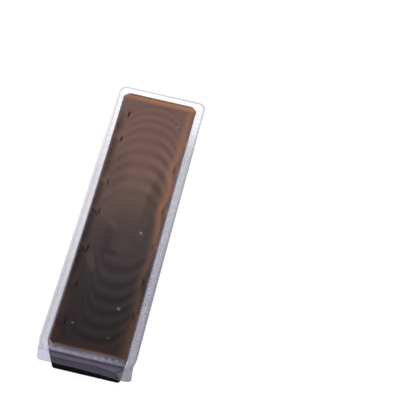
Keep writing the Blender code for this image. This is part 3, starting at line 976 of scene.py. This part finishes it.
# How much clearer the fold is over the end wall: painted shade along the fold
FOLD_PAINTED_SHADE = 0.6


def flat_row(y, shares):
    """A row of the flat film: it lies on the jelly, rises to a ridge on the rim, and droops past it."""
    across = shares * flat_half(y)
    x = bowed(across, y)
    inset = rim_inset(x, np.full(len(x), y))
    z = FILM_MIDDLE + weld_ridge(inset) - MARGIN_DROOP * np.clip(-inset, 0, 2) ** 2
    bar_inset = np.minimum(BAR_HALF_X - np.abs(across), BAR_HALF_Y - abs(y))
    return np.column_stack([x, np.full(len(x), y), z]), flat_haze(x, y, inset, bar_inset)


def fold_row(angle, shares, flat_end_haze):
    """A row of the fold, at an angle from flat; it is clearer where the end wall stands behind it, so
    the dark end shows through as painted shade along the fold.
    """
    y = FOLD_START_Y - FOLD_RADIUS * math.sin(angle)
    ridge = weld_ridge(RIM_HALF_Y + FOLD_START_Y) * math.cos(angle)
    z = FILM_MIDDLE - FOLD_RADIUS * (1 - math.cos(angle)) + ridge
    row = np.column_stack([shares * TAB_HALF_X, np.full(len(shares), y), np.full(len(shares), z)])
    on_body = (1 - off_body(row[:, 0], row[:, 2])) * math.sin(angle)
    return row, flat_end_haze * (1 - FOLD_PAINTED_SHADE * on_body)


def tab_row(distance, shares):
    """A row of the tab, at a distance from its lower edge, which curves and slopes."""
    x = shares * (TAB_HALF_X - narrowing(distance, TAB_RADIUS))
    across = x / TAB_HALF_X
    low = TAB_LOW_MIDDLE + TAB_SAG * across ** 2 + (TAB_LOW_RIGHT - TAB_LOW_LEFT) / 2 * across
    z = TAB_TOP - (TAB_TOP - low) * (1 - distance / TAB_DROP)
    out, *fields = tab_outward(x, z)
    row = np.column_stack([x, FOLD_START_Y - FOLD_RADIUS - out, z])
    return row, tab_haze(x, z, TAB_DROP - distance, *fields)


def film_rows():
    """Rows of the sheet's middle surface, each with its haze."""
    shares = np.linspace(-1, 1, FILM_COLUMNS + 1)
    corner = [FILM_FAR_Y - distance for distance in round_rows(FILM_RADIUS, 10)]
    flat = corner + list(np.linspace(corner[-1], FOLD_START_Y, FLAT_ROWS + 1)[1:-1])
    rows = [flat_row(y, shares) for y in flat]
    flat_end_haze = rows[-1][1]
    rows += [fold_row(angle, shares, flat_end_haze) for angle in np.linspace(0, math.pi / 2, 7)]
    tab = list(np.linspace(TAB_DROP, TAB_RADIUS, TAB_ROWS + 1)[1:-1]) + round_rows(TAB_RADIUS, 8)[::-1]
    return rows + [tab_row(distance, shares) for distance in tab]


print("the sheet has", len(film_rows()), "rows")

# %% The sheet as a mesh with a thickness
# Painted shade: how much darker the film's tone gets on its right, more towards the near end
RIGHT_PAINTED_SHADE = (0.25, (40, -50, 0.35))


def make_film():
    """The film: a grid of rows, given its thickness by Solidify."""
    rows = film_rows()
    columns = FILM_COLUMNS + 1
    points = np.concatenate([row for row, _ in rows]) + (FILM_OFF_CENTRE, 0.0, 0.0)
    faces = []
    for r in range(len(rows) - 1):
        for c in range(FILM_COLUMNS):
            i = r * columns + c
            faces.append((i, i + columns, i + columns + 1, i + 1))
    film = new_piece("lid_film_sheet", points, faces, CLEAR_FILM)
    x, y, z = points.T
    on_tab = soft_step(y, FOLD_START_Y, FOLD_START_Y - FOLD_RADIUS)
    carry(film.data, haze=np.concatenate([haze for _, haze in rows]),
          smoke=np.maximum(stepped(y, *RIGHT_PAINTED_SHADE) * soft_step(x, 0, 26), on_tab),
          wing=on_tab * off_body(x, z) * (x < 0))
    thickness = film.modifiers.new("thickness", "SOLIDIFY")
    thickness.thickness = FILM_THICK * MM
    thickness.offset = 0.0
    return film


film = make_film()

# %% [markdown]
# ## What the sealing left
# The heated sealing jaw has a fine knurl, and its points stay in the weld as rows of small raised dots.
# They follow the rim, so a Geometry Nodes tree walks rings of points round it and stands one dot on each.
# Bubbles of air under the film are a few discs at chosen places, from a second tree.


# %% Laying a Geometry Nodes tree from Python
def node_tree(name, sizes):
    """A tree with a mesh input, one named number input for each size, and a mesh output."""
    tree = bpy.data.node_groups.new(name, "GeometryNodeTree")
    tree.interface.new_socket("Mesh", in_out="INPUT", socket_type="NodeSocketGeometry")
    for size in sizes:
        tree.interface.new_socket(size, in_out="INPUT", socket_type="NodeSocketFloat")
    tree.interface.new_socket("Mesh", in_out="OUTPUT", socket_type="NodeSocketGeometry")
    return tree, tree.nodes.new("NodeGroupInput"), tree.nodes.new("NodeGroupOutput")


def lay(tree, kind, settings=None, values=None):
    """One node of a tree, with its settings first and then the values or links of its sockets."""
    node = tree.nodes.new(kind)
    for name, setting in (settings or {}).items():
        setattr(node, name, setting)
    for name, value in (values or {}).items():
        if isinstance(value, bpy.types.NodeSocket):
            tree.links.new(value, node.inputs[name])
        else:
            node.inputs[name].default_value = value
    return node


def finish_tree(tree, result, placed, material):
    """Ends a tree: real meshes from its instances, with a material."""
    real = lay(tree, "GeometryNodeRealizeInstances", values={0: placed.outputs[0]})
    dressed = lay(tree, "GeometryNodeSetMaterial",
                  values={"Geometry": real.outputs[0], "Material": material})
    tree.links.new(dressed.outputs[0], result.inputs[0])
    return tree


def grown(name, base, tree, sizes):
    """Runs a tree on a base mesh with these sizes, and keeps the result as a plain mesh piece."""
    seed = into_scene(name + "_base", base)
    modifier = seed.modifiers.new(name, "NODES")
    modifier.node_group = tree
    for item in tree.interface.items_tree:
        if item.in_out == "INPUT" and item.name in sizes:
            modifier[item.identifier] = sizes[item.name]
    evaluated = seed.evaluated_get(bpy.context.evaluated_depsgraph_get())
    piece = into_scene(name, bpy.data.meshes.new_from_object(evaluated))
    bpy.data.objects.remove(seed)
    print(name, "has", len(piece.data.polygons), "faces")
    return piece


# %% Knurl of the weld, round the rim
KNURL_PITCH, KNURL_SIZE, KNURL_TIP, KNURL_HEIGHT = 0.95, 0.36, 0.08, 0.14
KNURL_INSETS = (0.7, 1.5, 2.3, 3.1)


def knurl_tree():
    """Rings of points at the pitch, with one flat-topped pyramid of uneven size on each."""
    tree, given, result = node_tree("knurl", ("Pitch", "Dot Radius", "Dot Height"))
    path = lay(tree, "GeometryNodeMeshToCurve", values={0: given.outputs["Mesh"]})
    walked = lay(tree, "GeometryNodeResampleCurve", {"mode": "LENGTH"},
                 {"Curve": path.outputs[0], "Length": given.outputs["Pitch"]})
    dot = lay(tree, "GeometryNodeMeshCone", values={"Vertices": 6, "Radius Top": KNURL_TIP * MM,
                                                    "Radius Bottom": given.outputs["Dot Radius"],
                                                    "Depth": given.outputs["Dot Height"]})
    uneven = lay(tree, "FunctionNodeRandomValue", {"data_type": "FLOAT"},
                 {2: 0.55, 3: 1.15, "Seed": 11})
    placed = lay(tree, "GeometryNodeInstanceOnPoints",
                 values={"Points": walked.outputs[0], "Instance": dot.outputs[0],
                         "Scale": uneven.outputs[1]})
    return finish_tree(tree, result, placed, KNURL_PLASTIC)


def knurl_rings():
    """Closed rings of edges on the weld, one for each row of dots, in metres."""
    mesh = bpy.data.meshes.new("knurl_rings")
    points, edges = [], []
    for inset in KNURL_INSETS:
        ring = outline(RIM_HALF_X - inset, RIM_HALF_Y - inset, max(0.6, RIM_RADIUS - inset),
                       off_centre=RIM_OFF_CENTRE)
        height = FILM_MIDDLE + FILM_THICK / 2 + weld_ridge(inset)
        first = len(points)
        points += [(x * MM, y * MM, height * MM) for x, y in ring]
        edges += [(first + i, first + (i + 1) % len(ring)) for i in range(len(ring))]
    mesh.from_pydata(points, edges, [])
    return mesh


knurl = grown("weld_knurl", knurl_rings(), knurl_tree(),
              {"Pitch": KNURL_PITCH * MM, "Dot Radius": KNURL_SIZE * MM, "Dot Height": KNURL_HEIGHT * MM})

# %% Bubbles of air under the film
BUBBLES = ((15.4, 80.7, 0.6), (11.3, -8.0, 1.1), (11.0, -65.8, 1.25), (9.9, -87.1, 0.62),
           (8.7, -87.6, 0.16), (8.1, -86.2, 0.12), (9.0, -89.4, 0.12), (-13.0, -82.4, 0.95))


def bubble_tree():
    """A flattened ball on each point, as wide as the point's own radius says."""
    tree, given, result = node_tree("bubbles", ("Flatness",))
    ball = lay(tree, "GeometryNodeMeshIcoSphere", values={"Radius": 1.0, "Subdivisions": 3})
    smooth = lay(tree, "GeometryNodeSetShadeSmooth", values={0: ball.outputs[0]})
    radius = lay(tree, "GeometryNodeInputNamedAttribute", {"data_type": "FLOAT"}, {"Name": "air_radius"})
    height = lay(tree, "ShaderNodeMath", {"operation": "MULTIPLY"},
                 {0: radius.outputs[0], 1: given.outputs["Flatness"]})
    scale = lay(tree, "ShaderNodeCombineXYZ", values={0: radius.outputs[0], 1: radius.outputs[0],
                                                      2: height.outputs[0]})
    points = lay(tree, "GeometryNodeMeshToPoints", values={"Mesh": given.outputs["Mesh"]})
    placed = lay(tree, "GeometryNodeInstanceOnPoints",
                 values={"Points": points.outputs[0], "Instance": smooth.outputs[0],
                         "Scale": scale.outputs[0]})
    return finish_tree(tree, result, placed, TRAPPED_AIR)


def bubble_points():
    """One point for each bubble, at the jelly's top, with its radius in metres."""
    mesh = bpy.data.meshes.new("bubble_points")
    mesh.from_pydata([(x * MM, y * MM, (BAR_TOP + FILM_REACH) * MM) for x, y, _ in BUBBLES], [], [])
    carry(mesh, air_radius=[radius * MM for _, _, radius in BUBBLES])
    return mesh


bubbles = grown("air_bubbles", bubble_points(), bubble_tree(), {"Flatness": 0.12})

# %% [markdown]
# ## Hand the pieces to the frame
# Each piece rides on the object's one body. The three main pieces stand for the three solids, which
# stay in the simulation.

# %% Ride and replace
for piece, slot in ((jelly, "bean_jelly"), (tray, "tray_plastic"), (film, "clear_film"),
                    (knurl, "clear_film"), (bubbles, "bean_jelly")):
    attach(piece, "root")
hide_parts("yokan")
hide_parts("tray")
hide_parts("lid_film")
